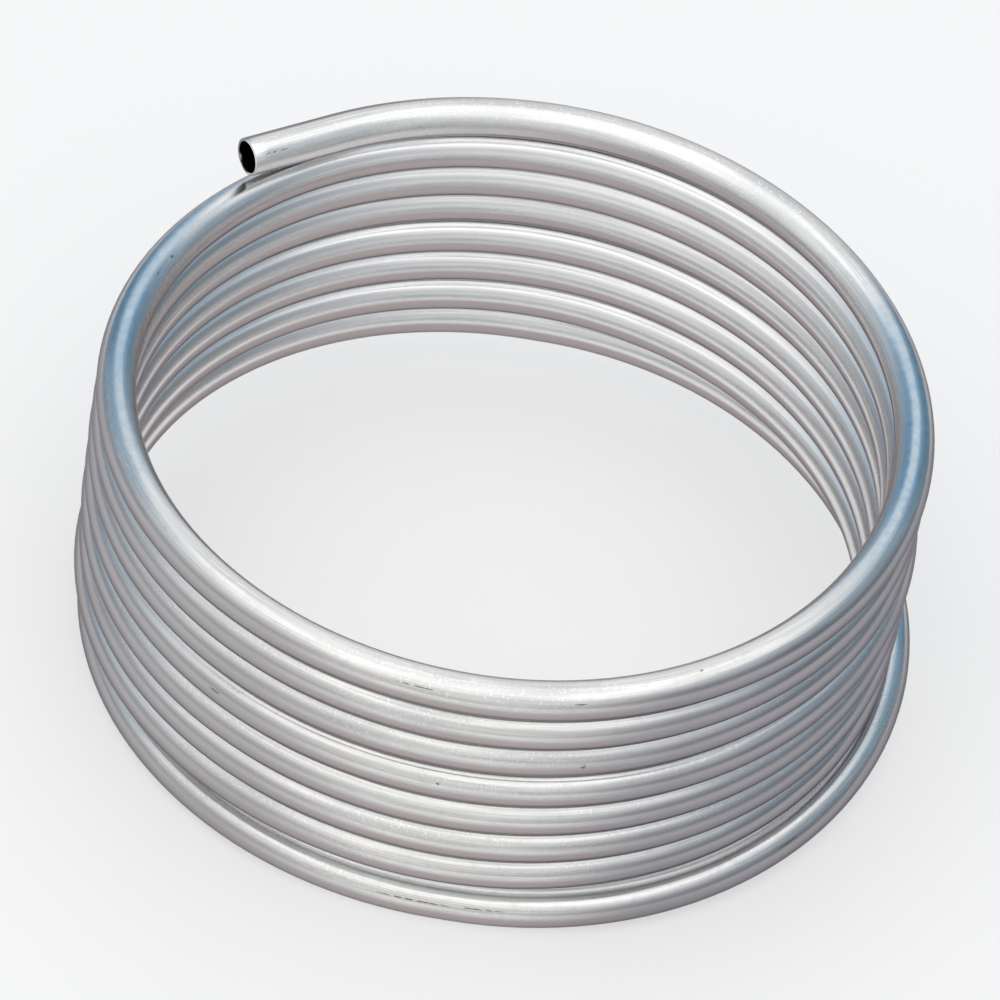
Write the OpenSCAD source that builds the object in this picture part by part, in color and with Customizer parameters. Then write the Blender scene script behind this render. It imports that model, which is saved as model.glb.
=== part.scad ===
/* [Tube] */
// Outside diameter of the tube
tube_d = 10; // [8:0.1:12]
// Thickness of the tube's wall
wall_t = 0.8; // [0.5:0.05:1.5]

/* [Coil] */
// Diameter of a turn, measured to the middle of the tube
coil_d = 200; // [160:1:260]
// Number of turns, counted at the front
turns = 8; // [3:1:10]
// Air left between one turn and the next
turn_gap = 0.1; // [0.1:0.05:1]
// How far the bottom turn swings out of line on the right
bottom_swing = 4.5; // [1:0.5:8]

/* [Upper end] */
// How much less the radius of the arc that leads to the upper end is than the coil's
upper_tighter = 4; // [3:1:25]
// Angle that this arc goes round past the rear of the coil
upper_sweep = 36; // [10:1:45]
// Angle by which this arc is tipped up
upper_tip = 3.4; // [3:0.1:15]
// Length of the straight stretch at the upper end
upper_straight = 26; // [15:1:50]

/* [Lower end] */
// How much less the radius of the arc that leads to the lower end is than the coil's
lower_tighter = 2; // [2:1:25]
// Angle that this arc goes round past the front of the coil
lower_sweep = 88; // [60:1:120]
// Length of the straight stretch at the lower end
lower_straight = 32; // [15:1:50]

/* [Hidden] */
$fn = 48;

RIGHT = 1;
LEFT = -1;
// How far each turn strays outward at the front and at the rear, from the top turn down
FRONT_STRAY = [0, 0.1, -0.5, 0.4, 0.5, 0.3, 0, 0];
REAR_STRAY = [0, -1.2, -0.9, 0.2, -1, -1, -1.5, 0];

tube_r = tube_d / 2;
bore_r = tube_r - wall_t;
coil_r = coil_d / 2;
turn_h = tube_d + turn_gap;
bottom = turns - 1;
upper_arc_r = coil_r - upper_tighter;
lower_arc_r = coil_r - lower_tighter;
// Angle from the front at which the lower end lies under the turn above it
lower_end_at = lower_sweep + atan(lower_straight / lower_arc_r);
// The turns above the bottom one are raised by as much as that turn has come down there
bottom_lift = turn_h / 4 * (1 - cos(lower_end_at));
// Stretches that meet differ in radius by this much, so that each joint has a clean step
joint_step = 0.04;
// A straight end reaches back into its arc by this much
end_lap = 1;
// The bore runs out past the tube's ends by this much
bore_out = 1;

// Height at which turn k, counted from the top, passes the front and the rear of the coil
function front_z(k) = tube_r + turn_h * (bottom - k) + (k < bottom ? bottom_lift : 0);
function rear_z(k) = k == 0 ? front_z(0) + turn_h / 2 : front_z(k - 1) - turn_h / 2;

// The places themselves, as [y, z]
function front_of(k) = [-coil_r - FRONT_STRAY[k % len(FRONT_STRAY)], front_z(k)];
function rear_of(k) = [coil_r + REAR_STRAY[k % len(REAR_STRAY)], rear_z(k)];

// A flat ring's arc that starts at the rear of the ring and goes round to the left
module arc(r, ring_r, sweep) {
    rotate([0, 0, 90])
        rotate_extrude(angle = sweep)
            translate([ring_r, 0])
                circle(r = r);
}

// Half a turn on one side: a half ring, tipped so that it joins the rear to the front
module half_turn(r, side, rear, front) {
    middle = (rear + front) / 2;
    reach = rear[0] - front[0];
    tip = atan((rear[1] - front[1]) / reach);
    translate([0, middle[0], middle[1]])
        rotate([tip, 0, 0])
            mirror([side == RIGHT ? 1 : 0, 0, 0])
                arc(r, reach / 2 / cos(tip), 180);
}

// A short straight stretch from the place given to the right
module rightward(r, place, length) {
    translate([0, place[0], place[1]])
        rotate([0, 90, 0])
            cylinder(r = r, h = length);
}

// An arc from the rear of a ring round to the left, and the straight stretch that it ends in
module free_end(r, ring_r, sweep, length) {
    arc(r - joint_step, ring_r, sweep);
    rotate([0, 0, 90 + sweep])
        translate([ring_r, -end_lap, 0])
            rotate([-90, 0, 0])
                cylinder(r = r, h = end_lap + length);
}

module upper_end(r, out) {
    translate([0, rear_of(0)[0], rear_z(0)])
        rotate([-upper_tip, 0, 0])
            translate([0, -upper_arc_r, 0])
                free_end(r, upper_arc_r, upper_sweep, upper_straight + out);
}

module lower_end(r, out) {
    translate([0, front_of(bottom)[0] + lower_arc_r, front_z(bottom)])
        mirror([0, 1, 0])
            free_end(r, lower_arc_r, lower_sweep, lower_straight + out);
}

// The bottom turn's right half, which is swung out of line
module swung_half_turn(r) {
    rightward(r - 2 * joint_step, rear_of(bottom), bottom_swing);
    translate([bottom_swing, 0, 0])
        half_turn(r, RIGHT, rear_of(bottom), front_of(bottom));
    rightward(r - 2 * joint_step, front_of(bottom), bottom_swing);
}

// The whole run of the tube as a rod of radius r, drawn out at both ends
module run(r, out = 0) {
    upper_end(r, out);
    for (k = [0 : bottom - 1]) {
        half_turn(r, RIGHT, rear_of(k), front_of(k));
        half_turn(r - joint_step, LEFT, rear_of(k + 1), front_of(k));
    }
    swung_half_turn(r);
    lower_end(r, out);
}

module coiled_tube() {
    color("silver")
        difference() {
            run(tube_r);
            run(bore_r, bore_out);
        }
}

coiled_tube();
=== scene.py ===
from math import atan2, cos, pi, radians, sin

import bmesh
import bpy
from mathutils import Matrix, Vector


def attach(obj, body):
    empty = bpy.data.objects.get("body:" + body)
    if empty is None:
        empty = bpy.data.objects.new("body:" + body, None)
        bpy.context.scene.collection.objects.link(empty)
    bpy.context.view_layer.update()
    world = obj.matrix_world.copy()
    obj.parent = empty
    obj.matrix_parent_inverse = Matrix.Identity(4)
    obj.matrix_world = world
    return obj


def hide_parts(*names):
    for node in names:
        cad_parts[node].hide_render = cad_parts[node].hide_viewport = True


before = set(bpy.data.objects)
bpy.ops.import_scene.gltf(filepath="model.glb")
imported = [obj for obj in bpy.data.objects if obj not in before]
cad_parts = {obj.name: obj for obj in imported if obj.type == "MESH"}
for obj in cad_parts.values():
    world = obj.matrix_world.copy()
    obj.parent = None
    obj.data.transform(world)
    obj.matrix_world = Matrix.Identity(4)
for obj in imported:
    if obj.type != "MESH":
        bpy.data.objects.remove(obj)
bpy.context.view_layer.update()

# ---------------------------------------------------------------- The tube
# One five metre length of thin-walled round aluminium tube, drawn bright through a die and then
# wound bare round a mandrel. Its turns lie one on the next and spring a little out of line. Both
# of its ends are sawn off square and left straight, and nothing holds it together.
TUBE_R = 0.005
WALL_T = 0.0008
BORE_R = TUBE_R - WALL_T
COIL_R = 0.1
TURNS = 8
TURN_H = 0.0101
BOTTOM = TURNS - 1
BOTTOM_SWING = 0.0045
# How far each turn strays outward at the front and at the rear, from the top turn down
FRONT_STRAY = [0, 0.0001, -0.0005, 0.0004, 0.0005, 0.0003, 0, 0]
REAR_STRAY = [0, -0.0012, -0.0009, 0.0002, -0.001, -0.001, -0.0015, 0]
# Each end follows a tighter arc past the last full half turn, and then a straight stretch
UPPER_ARC_R, UPPER_SWEEP, UPPER_TIP, UPPER_STRAIGHT = 0.096, radians(36), radians(3.4), 0.026
LOWER_ARC_R, LOWER_SWEEP, LOWER_STRAIGHT = 0.098, radians(88), 0.032

# How far round from the front the lower end lies beneath the turn above it. The turns above the
# bottom one are raised by as much as that turn has come down there.
lower_end_at = LOWER_SWEEP + atan2(LOWER_STRAIGHT, LOWER_ARC_R)
bottom_lift = TURN_H / 4 * (1 - cos(lower_end_at))


def front_of(turn):
    """Where the middle of the tube passes the front of the coil, counted from the top turn."""
    height = TUBE_R + TURN_H * (BOTTOM - turn) + (bottom_lift if turn < BOTTOM else 0)
    return Vector((0, -COIL_R - FRONT_STRAY[turn], height))


def rear_of(turn):
    """Where it passes the rear of the coil, half a turn before the front."""
    height = front_of(0).z + TURN_H / 2 if turn == 0 else front_of(turn - 1).z - TURN_H / 2
    return Vector((0, COIL_R + REAR_STRAY[turn], height))


SIDES_OUTSIDE, SIDES_INSIDE = 40, 24
RING_SIZE = SIDES_OUTSIDE + SIDES_INSIDE
STEP_ANGLE, STEP_LENGTH = radians(2.5), 0.004
UP = Vector((0, 0, 1))


def bend(angle, radius, centre, axis):
    """The spin that bends the tube round a centre, with its length and its number of steps."""
    steps = max(1, round(abs(angle) / STEP_ANGLE))
    return abs(angle) * radius, steps, {"cent": centre, "axis": axis, "angle": angle}


def straight(way):
    """The same for a stretch that runs straight along the way given."""
    steps = max(1, round(way.length / STEP_LENGTH))
    return way.length, steps, {"cent": (0, 0, 0), "axis": UP, "angle": 0, "dvec": way / steps}


def add_stretch(tube, start, outward, begun, onward, *paths):
    """Adds a stretch of the tube's wall, spun from two rings that stand across its run."""
    stretch = bmesh.new()
    # Each point keeps its place on the straight tube: along it, outward and upward
    drawn = stretch.verts.layers.float_vector.new("drawn")
    for radius, sides in ((TUBE_R, SIDES_OUTSIDE), (BORE_R, SIDES_INSIDE)):
        bmesh.ops.create_circle(stretch, segments=sides, radius=radius)
    for vert in stretch.verts:
        vert[drawn] = (begun, vert.co.x, vert.co.y)
    heading = outward.cross(UP)
    across = Matrix((outward, UP, heading)).transposed().to_4x4()
    bmesh.ops.transform(stretch, matrix=Matrix.Translation(start) @ across, verts=stretch.verts)
    leading = stretch.edges[:]
    for length, steps, path in paths:
        laid = len(stretch.verts)
        made = bmesh.ops.spin(stretch, geom=leading, steps=steps, **path)["geom_last"]
        leading = [part for part in made if isinstance(part, bmesh.types.BMEdge)]
        rings = stretch.verts[:][laid:]
        # A tipped half turn twists its rings, so each is turned back to stand square again
        tip = path["axis"].angle(UP) if abs(path["angle"]) == pi else 0
        for step in range(1, steps + 1):
            ring = rings[RING_SIZE * (step - 1) : RING_SIZE * step]
            for vert in ring:
                vert[drawn].x = begun + onward * length * step / steps
            if tip:
                middle = sum((vert.co for vert in ring), Vector()) / RING_SIZE
                ahead = Matrix.Rotation(path["angle"] * step / steps, 3, path["axis"]) @ heading
                untwist = Matrix.Rotation(2 * tip * step / steps, 3, ahead)
                bmesh.ops.rotate(stretch, verts=ring, cent=middle, matrix=untwist)
        begun += onward * length
    part = bpy.data.meshes.new("stretch")
    stretch.to_mesh(part)
    stretch.free()
    tube.from_mesh(part)
    bpy.data.meshes.remove(part)
    return begun


tube = bmesh.new()
BACKWARD, FORWARD = -1, 1
upper_axis = Vector((0, sin(UPPER_TIP), cos(UPPER_TIP)))
upper_centre = rear_of(0) + UPPER_ARC_R * Vector((0, -cos(UPPER_TIP), sin(UPPER_TIP)))
upper_way = Matrix.Rotation(UPPER_SWEEP, 3, upper_axis) @ Vector((-1, 0, 0))
upper_arc = bend(UPPER_SWEEP, UPPER_ARC_R, upper_centre, upper_axis)
upper_run = UPPER_ARC_R * UPPER_SWEEP + UPPER_STRAIGHT
to_rear, to_front = Vector((0, 1, 0)), Vector((0, -1, 0))
upper_straight = straight(upper_way * UPPER_STRAIGHT)
add_stretch(tube, rear_of(0), to_rear, upper_run, BACKWARD, upper_arc, upper_straight)


def half_turn(rear, front, swing=Vector()):
    """The bend of half a turn, tipped so that it joins its place at the rear to the front."""
    across = rear - front
    tipped = Vector((0, -across.z, across.y)).normalized()
    return bend(-pi, across.length / 2, (rear + front) / 2 + swing, tipped)


begun = upper_run
for turn in range(BOTTOM):
    rear, front, next_rear = rear_of(turn), front_of(turn), rear_of(turn + 1)
    begun = add_stretch(tube, rear, to_rear, begun, FORWARD, half_turn(rear, front))
    begun = add_stretch(tube, front, to_front, begun, FORWARD, half_turn(next_rear, front))
rear, front, swing = rear_of(BOTTOM), front_of(BOTTOM), Vector((BOTTOM_SWING, 0, 0))
swung = [straight(swing), half_turn(rear, front, swing), straight(-swing)]
begun = add_stretch(tube, rear, to_rear, begun, FORWARD, *swung)
lower_centre = front + LOWER_ARC_R * to_rear
lower_way = Matrix.Rotation(-LOWER_SWEEP, 3, UP) @ Vector((-1, 0, 0))
lower_arc = bend(-LOWER_SWEEP, LOWER_ARC_R, lower_centre, UP)
lower_straight = straight(lower_way * LOWER_STRAIGHT)
TUBE_LENGTH = add_stretch(tube, front, to_front, begun, FORWARD, lower_arc, lower_straight)

# The saw leaves a flat ring at each end, and its sharp edges are just taken off
EDGE_BREAK, SAME_PLACE, MID_HEIGHT = 0.00012, 1e-6, 0.05
bmesh.ops.remove_doubles(tube, verts=tube.verts, dist=SAME_PLACE)
rims = [edge for edge in tube.edges if edge.is_boundary]
for is_upper in (True, False):
    cut = [edge for edge in rims if (edge.verts[0].co.z > MID_HEIGHT) == is_upper]
    bmesh.ops.bridge_loops(tube, edges=cut)
bmesh.ops.recalc_face_normals(tube, faces=tube.faces)
for face in tube.faces:
    face.smooth = True
bmesh.ops.bevel(
    tube, geom=rims, offset=EDGE_BREAK, segments=2, profile=0.5, affect="EDGES", material=-1
)
wound_mesh = bpy.data.meshes.new("wound_tube")
tube.to_mesh(wound_mesh)
tube.free()
wound_tube = bpy.data.objects.new("wound_tube", wound_mesh)
bpy.context.scene.collection.objects.link(wound_tube)


class Wire:
    """A shader socket that Python's arithmetic works on, in the node tree being wired."""

    tree = None

    def __init__(self, socket):
        self.socket = socket

    @classmethod
    def node(cls, kind, settings=None, out=0, **sockets):
        """Adds a node. A socket is named with _ for a space, or _ and its number."""
        added = cls.tree.nodes.new(kind)
        for name, value in (settings or {}).items():
            if name == "stops":
                while len(added.color_ramp.elements) < len(value):
                    added.color_ramp.elements.new(1)
                for stop, (place, colour) in zip(added.color_ramp.elements, value):
                    stop.position, stop.color = place, (*colour, 1)
            else:
                setattr(added, name, value)
        for name, value in sockets.items():
            socket = added.inputs[int(name[1:]) if name[0] == "_" else name.replace("_", " ")]
            if isinstance(value, Wire):
                cls.tree.links.new(value.socket, socket)
            else:
                socket.default_value = value
        return cls(added.outputs[out])

    @classmethod
    def maths(cls, operation, *values):
        numbered = {f"_{number}": value for number, value in enumerate(values)}
        return cls.node("ShaderNodeMath", {"operation": operation}, **numbered)

    def __add__(self, other):
        return Wire.maths("ADD", self, other)

    def __sub__(self, other):
        return Wire.maths("SUBTRACT", self, other)

    def __rsub__(self, other):
        return Wire.maths("SUBTRACT", other, self)

    def __mul__(self, other):
        return Wire.maths("MULTIPLY", self, other)

    def __truediv__(self, other):
        return Wire.maths("DIVIDE", self, other)

    __radd__, __rmul__ = __add__, __mul__

    def eased(self, low, high):
        """0 at low and below, 1 at high and above, and smooth in between."""
        ease = {"interpolation_type": "SMOOTHSTEP"}
        return Wire.node("ShaderNodeMapRange", ease, _0=self, _1=low, _2=high)

    def parted(self):
        split = Wire.node("ShaderNodeSeparateXYZ", Vector=self).socket.node
        return [Wire(socket) for socket in split.outputs]

    def scaled(self, *factors):
        return Wire.node("ShaderNodeVectorMath", {"operation": "MULTIPLY"}, _0=self, _1=factors)

    def less(self, *point):
        return Wire.node("ShaderNodeVectorMath", {"operation": "SUBTRACT"}, _0=self, _1=point)

    def size(self):
        return Wire.node("ShaderNodeVectorMath", {"operation": "LENGTH"}, out=1, _0=self)

    def tint(self, clear, full):
        """The colour clear where this is 0, and full where it is 1."""
        clear, full = (c if isinstance(c, Wire) else (*c, 1) for c in (clear, full))
        kind = {"data_type": "RGBA"}
        return Wire.node("ShaderNodeMix", kind, out=2, _0=self, _6=clear, _7=full)


aluminium = bpy.data.materials.new("drawn_aluminium")
aluminium.use_nodes = True
Wire.tree = aluminium.node_tree
drawn = Wire.node("ShaderNodeAttribute", {"attribute_name": "drawn"}, out="Vector")
along, outward, upward = drawn.parted()
rightward, rearward, _ = Wire.node("ShaderNodeTexCoord", out="Object").parted()
sideways = Wire.maths("ABSOLUTE", rightward)
reach = Wire.maths("SQRT", outward * outward + upward * upward)
rise = upward / reach


def grain(along_scale, across_scale, detail=2.0):
    """Noise that is stretched along the tube, as the die leaves it."""
    stretched = drawn.scaled(along_scale, across_scale, across_scale)
    return Wire.node("ShaderNodeTexNoise", Vector=stretched, Scale=1.0, Detail=detail)


# The die's fine lines, broader dull streaks, hazy patches from handling, and specks of dust
lines = grain(20, 3400, 1.0)
streaks = grain(45, 900)
haze = grain(22, 90)
hazy = haze.eased(0.5, 0.8)
mottle = grain(420, 520)
specks = grain(1500, 1500, 0.0).eased(0.66, 0.72)
CLEAN, DULL, DUSTY = (0.83, 0.825, 0.81), (0.67, 0.67, 0.665), (0.95, 0.95, 0.95)
HAZED, MOTTLED = (0.58, 0.59, 0.6), (0.6, 0.6, 0.61)
colour = (streaks * 0.55 + lines * 0.45).eased(0.38, 0.62).tint(DULL, CLEAN)
colour = (hazy * 0.5).tint(colour, HAZED)
colour = (mottle.eased(0.5, 0.75) * 0.35).tint(colour, MOTTLED)
colour = (specks * haze.eased(0.4, 0.6) * 0.5).tint(colour, DUSTY)

# Painted light: the coil's inside is painted lighter than its outside, most of all between its
# top and bottom turns
PAINTED_LIGHT_INSIDE = (0.94, 0.945, 0.955)
TOP_TURN = upper_run + 2 * pi * COIL_R
to_end = TUBE_LENGTH - along
covered = along.eased(TOP_TURN - 0.1, TOP_TURN - 0.05) * to_end.eased(0.35, 0.5)
inside = (0 - outward).eased(0, 0.002)
colour = (inside * (covered * 0.3 + 0.3)).tint(colour, PAINTED_LIGHT_INSIDE)

# A warm painted shade darkens the lower flank of each turn, standing in for reflected shade, and
# is mostly held off the inside of the coil's front
WARM_UNDERSIDE_SHADE = (0.45, 0.402, 0.402)
downward = (0 - rise) * (1 + inside * 0.5) + inside * (0.12 - rightward * 1.5)
under = downward.eased(-0.38, 0) * (1 + rise).eased(0.38, 0.5)
under = under * (along.eased(0.03, 0.12) * 0.7 + 0.3)
inside_front = inside * (0 - rearward).eased(-0.02, 0.05)
colour = (under * (1 - inside_front * 0.85)).tint(colour, WARM_UNDERSIDE_SHADE)

# The outer side of the upper end is rubbed dark
RUBBED = (0.3, 0.3, 0.31)
rubbed = outward.eased(0.0012, 0.002) * (1 - along.eased(0.03, 0.08))
colour = (rubbed * 0.8).tint(colour, RUBBED)

# Painted shade darkens the lower outer flanks away from the coil's front and rear, most of all
# on the right
SHADE_LEFT, SHADE_RIGHT = (0.40, 0.385, 0.395), (0.29, 0.28, 0.305)
flank = outward.eased(0, 0.002) * (0 - rise).eased(-0.85, -0.5)
side_shade = rightward.eased(-0.02, 0.02).tint(SHADE_LEFT, SHADE_RIGHT)
colour = (flank * sideways.eased(0.012, 0.055) * 0.85).tint(colour, side_shade)

# A painted blue reflection lies on the crests at the coil's two sides, mostly on the top turn.
# On the left it sits further back on the tube's outer half than on its inner half.
PAINTED_BLUE_REFLECTION, LEFT_SLANT = (0.34, 0.49, 0.62), 100
at_a_side = Wire.maths("MAXIMUM", rightward, rearward * outward * LEFT_SLANT - rightward)
frontward = (0 - rearward).eased(0, 0.03)
blue_reflection = at_a_side.eased(0.078, 0.097) * (rise - frontward * 0.12).eased(0.72, 0.95)
blue_reflection = blue_reflection * (streaks * 0.5 + mottle * 0.7 + lines * 0.3)
first_turns = along.eased(0.1, 0.16) * (1 - along.eased(TOP_TURN, TOP_TURN + 0.1) * 0.6)
colour = (blue_reflection * first_turns).tint(colour, PAINTED_BLUE_REFLECTION)

# The turns stray from plumb, so each shows more or less of its top beside the turn above it
LEAN_SPAN = 0.004
leans = []
for half in range(2 * TURNS):
    turn, stray = half // 2, FRONT_STRAY if half % 2 else REAR_STRAY
    lean = stray[turn - 1] - stray[turn] if turn else 0
    leans.append((half / (2 * TURNS), (0.5 + lean / LEAN_SPAN,) * 3))
turns_down = (along - upper_run) / (2 * pi * COIL_R * TURNS)
leaning = Wire.node("ShaderNodeValToRGB", {"stops": leans}, Fac=turns_down)
leaning.socket.node.color_ramp.interpolation = "EASE"
shown = (0.5 - leaning) * Wire.maths("SIGN", outward) * LEAN_SPAN
SEAM_ANGLE, ANGLE_SHOWN = radians(70), radians(8.6) / 0.001
past_seam = Wire.maths("ARCSINE", rise) - SEAM_ANGLE - shown * ANGLE_SHOWN

# Beside the turn above it, each turn rises to a low bright lip, round outside and sharp inside,
# and on the inside a painted shade darkens the band just below that lip
SHADE_BELOW_LIP = (0.45, 0.45, 0.46)
rounded_lip = past_seam.eased(radians(-15), radians(1.5)) * (shown * 100 + 0.25)
rising = Wire.maths("MAXIMUM", past_seam + radians(14.5) + shown * ANGLE_SHOWN / 2, 0)
sharp_lip = rising * rising * (shown * 500 + 4.8)
lip = covered * (rounded_lip + inside * (sharp_lip - rounded_lip))
shade_below_lip = inside * covered * rise.eased(0.5, 0.64) * (1 - rise.eased(0.74, 0.82))
colour = (shade_below_lip * 0.55).tint(colour, SHADE_BELOW_LIP)

# Painted shade darkens the groove between two turns, and the underside of each turn that rests
# on another, darkest at the coil's sides
GROOVE_SHADE, SIDE_GROOVE_SHADE = (0.24, 0.20, 0.19), (0.09, 0.08, 0.09)
in_groove = past_seam.eased(radians(-4.5), radians(-2)) * covered
in_groove = in_groove * along.eased(TOP_TURN - 0.05, TOP_TURN)
resting = to_end.eased(0.95, 1.1)
in_groove = in_groove + (0 - rise).eased(0.925, 0.965) * resting
groove_shade = sideways.eased(0.03, 0.08).tint(GROOVE_SHADE, SIDE_GROOVE_SHADE)
colour = (in_groove * (0.9 - inside * 0.65)).tint(colour, groove_shade)

# The bore is duller, and painted nearly black as painted shade, with one painted glint at the
# mouth of the upper end
BORE_SHADE, PAINTED_GLINT = (0.003, 0.003, 0.0035), (0.85, 0.85, 0.85)
GLINT_PLACE, GLINT_SPREAD = (0.0004, 0.0033, -0.0026), (1100, 700, 700)
in_bore = 1 - reach.eased(BORE_R + 0.00002, BORE_R + 0.0001)
colour = in_bore.tint(colour, BORE_SHADE)
from_glint = drawn.less(*GLINT_PLACE).scaled(*GLINT_SPREAD).size()
colour = (in_bore * (1 - from_glint.eased(0.4, 1))).tint(colour, PAINTED_GLINT)

# Knocks and scratches: along the tube, degrees from outward to upward, length, width, in mm
SCRATCHES = [
    (412, 37, 16, 0.4),
    (374, 36, 4, 0.45),
    (6, 138, 9, 0.5),
    (2283, 29, 1.2, 1.2),
    (4800, 30, 24, 0.5),
    (4784, 33, 16, 0.45),
    (4702, 37, 9, 0.5),
    (2338, 58, 5, 0.6),
    (2342, 20, 4, 0.6),
    (591, 118, 2, 0.8),
    (584, 115, 4, 0.5),
    (1621, 13, 1.6, 1.6),
    (343, 80, 1.5, 0.8),
]
scratched = 0
for distance, angle, length, width in SCRATCHES:
    turned = radians(angle)
    middle = (distance / 1000, TUBE_R * cos(turned), TUBE_R * sin(turned))
    spread = (2000 / length, 2000 / width, 2000 / width)
    near = 1 - drawn.less(*middle).scaled(*spread).size().eased(0.5, 1.0)
    scratched = near + scratched
SCRATCH_DARK = (0.12, 0.115, 0.11)
scratched = scratched * grain(700, 2500, 0.0).eased(0.38, 0.5)
colour = (scratched * 0.8).tint(colour, SCRATCH_DARK)

roughness = 0.21 + streaks * 0.08 + hazy * 0.1 + in_bore * 0.1
# Heights in millimetres: the wander of the winding, the streaks, the lines and the lips
height = grain(28, 130) * 0.12 + streaks * 0.02 + lines * 0.006 + lip
bump = Wire.node("ShaderNodeBump", Strength=1.0, Distance=0.001, Height=height)
skin = Wire(aluminium.node_tree.nodes["Principled BSDF"].outputs[0])
inputs = skin.socket.node.inputs
inputs["Metallic"].default_value = 1
# Seen along its surface, the weathered metal shines less than polished metal would
inputs["Specular Tint"].default_value = (0.4, 0.38, 0.41, 1)
for name, value in (("Base Color", colour), ("Roughness", roughness), ("Normal", bump)):
    Wire.tree.links.new(value.socket, inputs[name])
wound_mesh.materials.append(aluminium)

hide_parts("coiled_tube")
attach(wound_tube, "root")

# ---------------------------------------------------------------- The floor
# A wide sheet of plain white board that the coil stands on. It reaches far past the coil on
# every side, so that no edge of it shows.
BOARD_REACH = 6
floor_mesh = bpy.data.meshes.new("floor")
board = bmesh.new()
bmesh.ops.create_grid(board, x_segments=1, y_segments=1, size=BOARD_REACH)
board.to_mesh(floor_mesh)
board.free()
floor = bpy.data.objects.new("floor", floor_mesh)
bpy.context.scene.collection.objects.link(floor)
white_board = bpy.data.materials.new("white_board")
white_board.use_nodes = True
paint = white_board.node_tree.nodes["Principled BSDF"].inputs
paint["Base Color"].default_value = (0.95, 0.945, 0.94, 1)
paint["Roughness"].default_value = 0.9
paint["Specular IOR Level"].default_value = 0
# To the eye, and in the metal, the board looks half way from lit board to pure white
Wire.tree = white_board.node_tree
BLEACH = 0.5
seen_by_eye = Wire.node("ShaderNodeLightPath", out="Is Camera Ray")
seen_in_metal = Wire.node("ShaderNodeLightPath", out="Is Glossy Ray")
white = Wire.node("ShaderNodeEmission", Color=(1, 1, 1, 1), Strength=1.0)
lit_board = Wire(white_board.node_tree.nodes["Principled BSDF"].outputs[0])
bleached = Wire.maths("MAXIMUM", seen_by_eye, seen_in_metal) * BLEACH
board_look = Wire.node("ShaderNodeMixShader", _0=bleached, _1=lit_board, _2=white)
output = white_board.node_tree.nodes["Material Output"]
Wire.tree.links.new(board_look.socket, output.inputs["Surface"])
white_board.cycles.emission_sampling = "NONE"
floor_mesh.materials.append(white_board)

# ---------------------------------------------------------------- The light
# A wide soft lamp hangs overhead, under a white ceiling. The studio's wall is white in front of
# the coil and round to its left, a white strip stands straight behind the coil, and the rest
# of the wall is a dull grey blue.
world = bpy.data.worlds.new("studio")
bpy.context.scene.world = world
world.use_nodes = True
Wire.tree = world.node_tree
right, back, up = Wire.node("ShaderNodeTexCoord", out="Generated").parted()
WALL_STOPS = [
    (0.0, (0.78, 0.775, 0.76)),
    (0.1, (0.82, 0.82, 0.81)),
    (0.17, (0.82, 0.82, 0.82)),
    (0.22, (0.77, 0.78, 0.79)),
    (0.27, (0.54, 0.58, 0.61)),
    (0.31, (0.37, 0.44, 0.51)),
    (0.35, (0.28, 0.38, 0.48)),
    (0.41, (0.18, 0.32, 0.44)),
    (0.43, (0.26, 0.40, 0.50)),
    (0.455, (0.84, 0.85, 0.86)),
    (0.54, (0.84, 0.85, 0.86)),
    (0.565, (0.26, 0.38, 0.47)),
    (0.61, (0.17, 0.29, 0.39)),
    (0.68, (0.23, 0.30, 0.36)),
    (0.76, (0.27, 0.32, 0.37)),
    (0.82, (0.52, 0.55, 0.58)),
    (0.88, (0.68, 0.69, 0.70)),
    (1.0, (0.78, 0.775, 0.76)),
]
# The wall's colours start straight in front of the coil and go round by the left. The wall is
# lighter higher up, and the strip behind the coil is whitest low down.
WHITE_STRIP, CEILING = (1.0, 1.0, 1.0), (0.97, 0.97, 0.97)
around = Wire.maths("ARCTAN2", right, back) / (2 * pi) + 0.5
wall = Wire.node("ShaderNodeValToRGB", {"stops": WALL_STOPS}, Fac=around)
wall = Wire.node("ShaderNodeVectorMath", {"operation": "SCALE"}, _0=wall, Scale=up * 0.7 + 0.79)
behind = 1 - Wire.maths("ABSOLUTE", around - 0.5).eased(0.04, 0.065)
wall = (behind * (1 - up.eased(0.05, 0.4))).tint(wall, WHITE_STRIP)
sky = up.eased(0.68, 0.82).tint(wall, CEILING)
Wire.tree.links.new(sky.socket, world.node_tree.nodes["Background"].inputs["Color"])

LAMP_HEIGHT = 2.6
LAMP_LEVEL = 0.35
lamp = bpy.data.lights.new("overhead", "AREA")
lamp.shape = "RECTANGLE"
lamp.size, lamp.size_y = 1.3 * LAMP_HEIGHT, 1.4 * LAMP_HEIGHT
lamp.energy = LAMP_LEVEL * pi * lamp.size * lamp.size_y
overhead = bpy.data.objects.new("overhead", lamp)
overhead.location = (0, -0.2 * LAMP_HEIGHT, LAMP_HEIGHT)
bpy.context.scene.collection.objects.link(overhead)

# ---------------------------------------------------------------- The camera
# It looks down on the front of the coil from half way up the sky, through a long lens, and
# leans a little to the left.
view = bpy.data.cameras.new("camera")
view.lens, view.sensor_width, view.clip_end = 317.5, 36, 20
camera = bpy.data.objects.new("camera", view)
bpy.context.scene.collection.objects.link(camera)
LOOKED_AT = Vector((0, 0.0004, 0.0454))
ELEVATION, DISTANCE, LEAN = radians(45), 2.22, radians(9.4)
sight = Vector((0, -cos(ELEVATION), sin(ELEVATION)))
facing = sight.to_track_quat("Z", "Y").to_matrix().to_4x4() @ Matrix.Rotation(LEAN, 4, "Z")
camera.matrix_world = Matrix.Translation(LOOKED_AT + sight * DISTANCE) @ facing
bpy.context.scene.camera = camera
bpy.context.scene.view_settings.view_transform = "Standard"
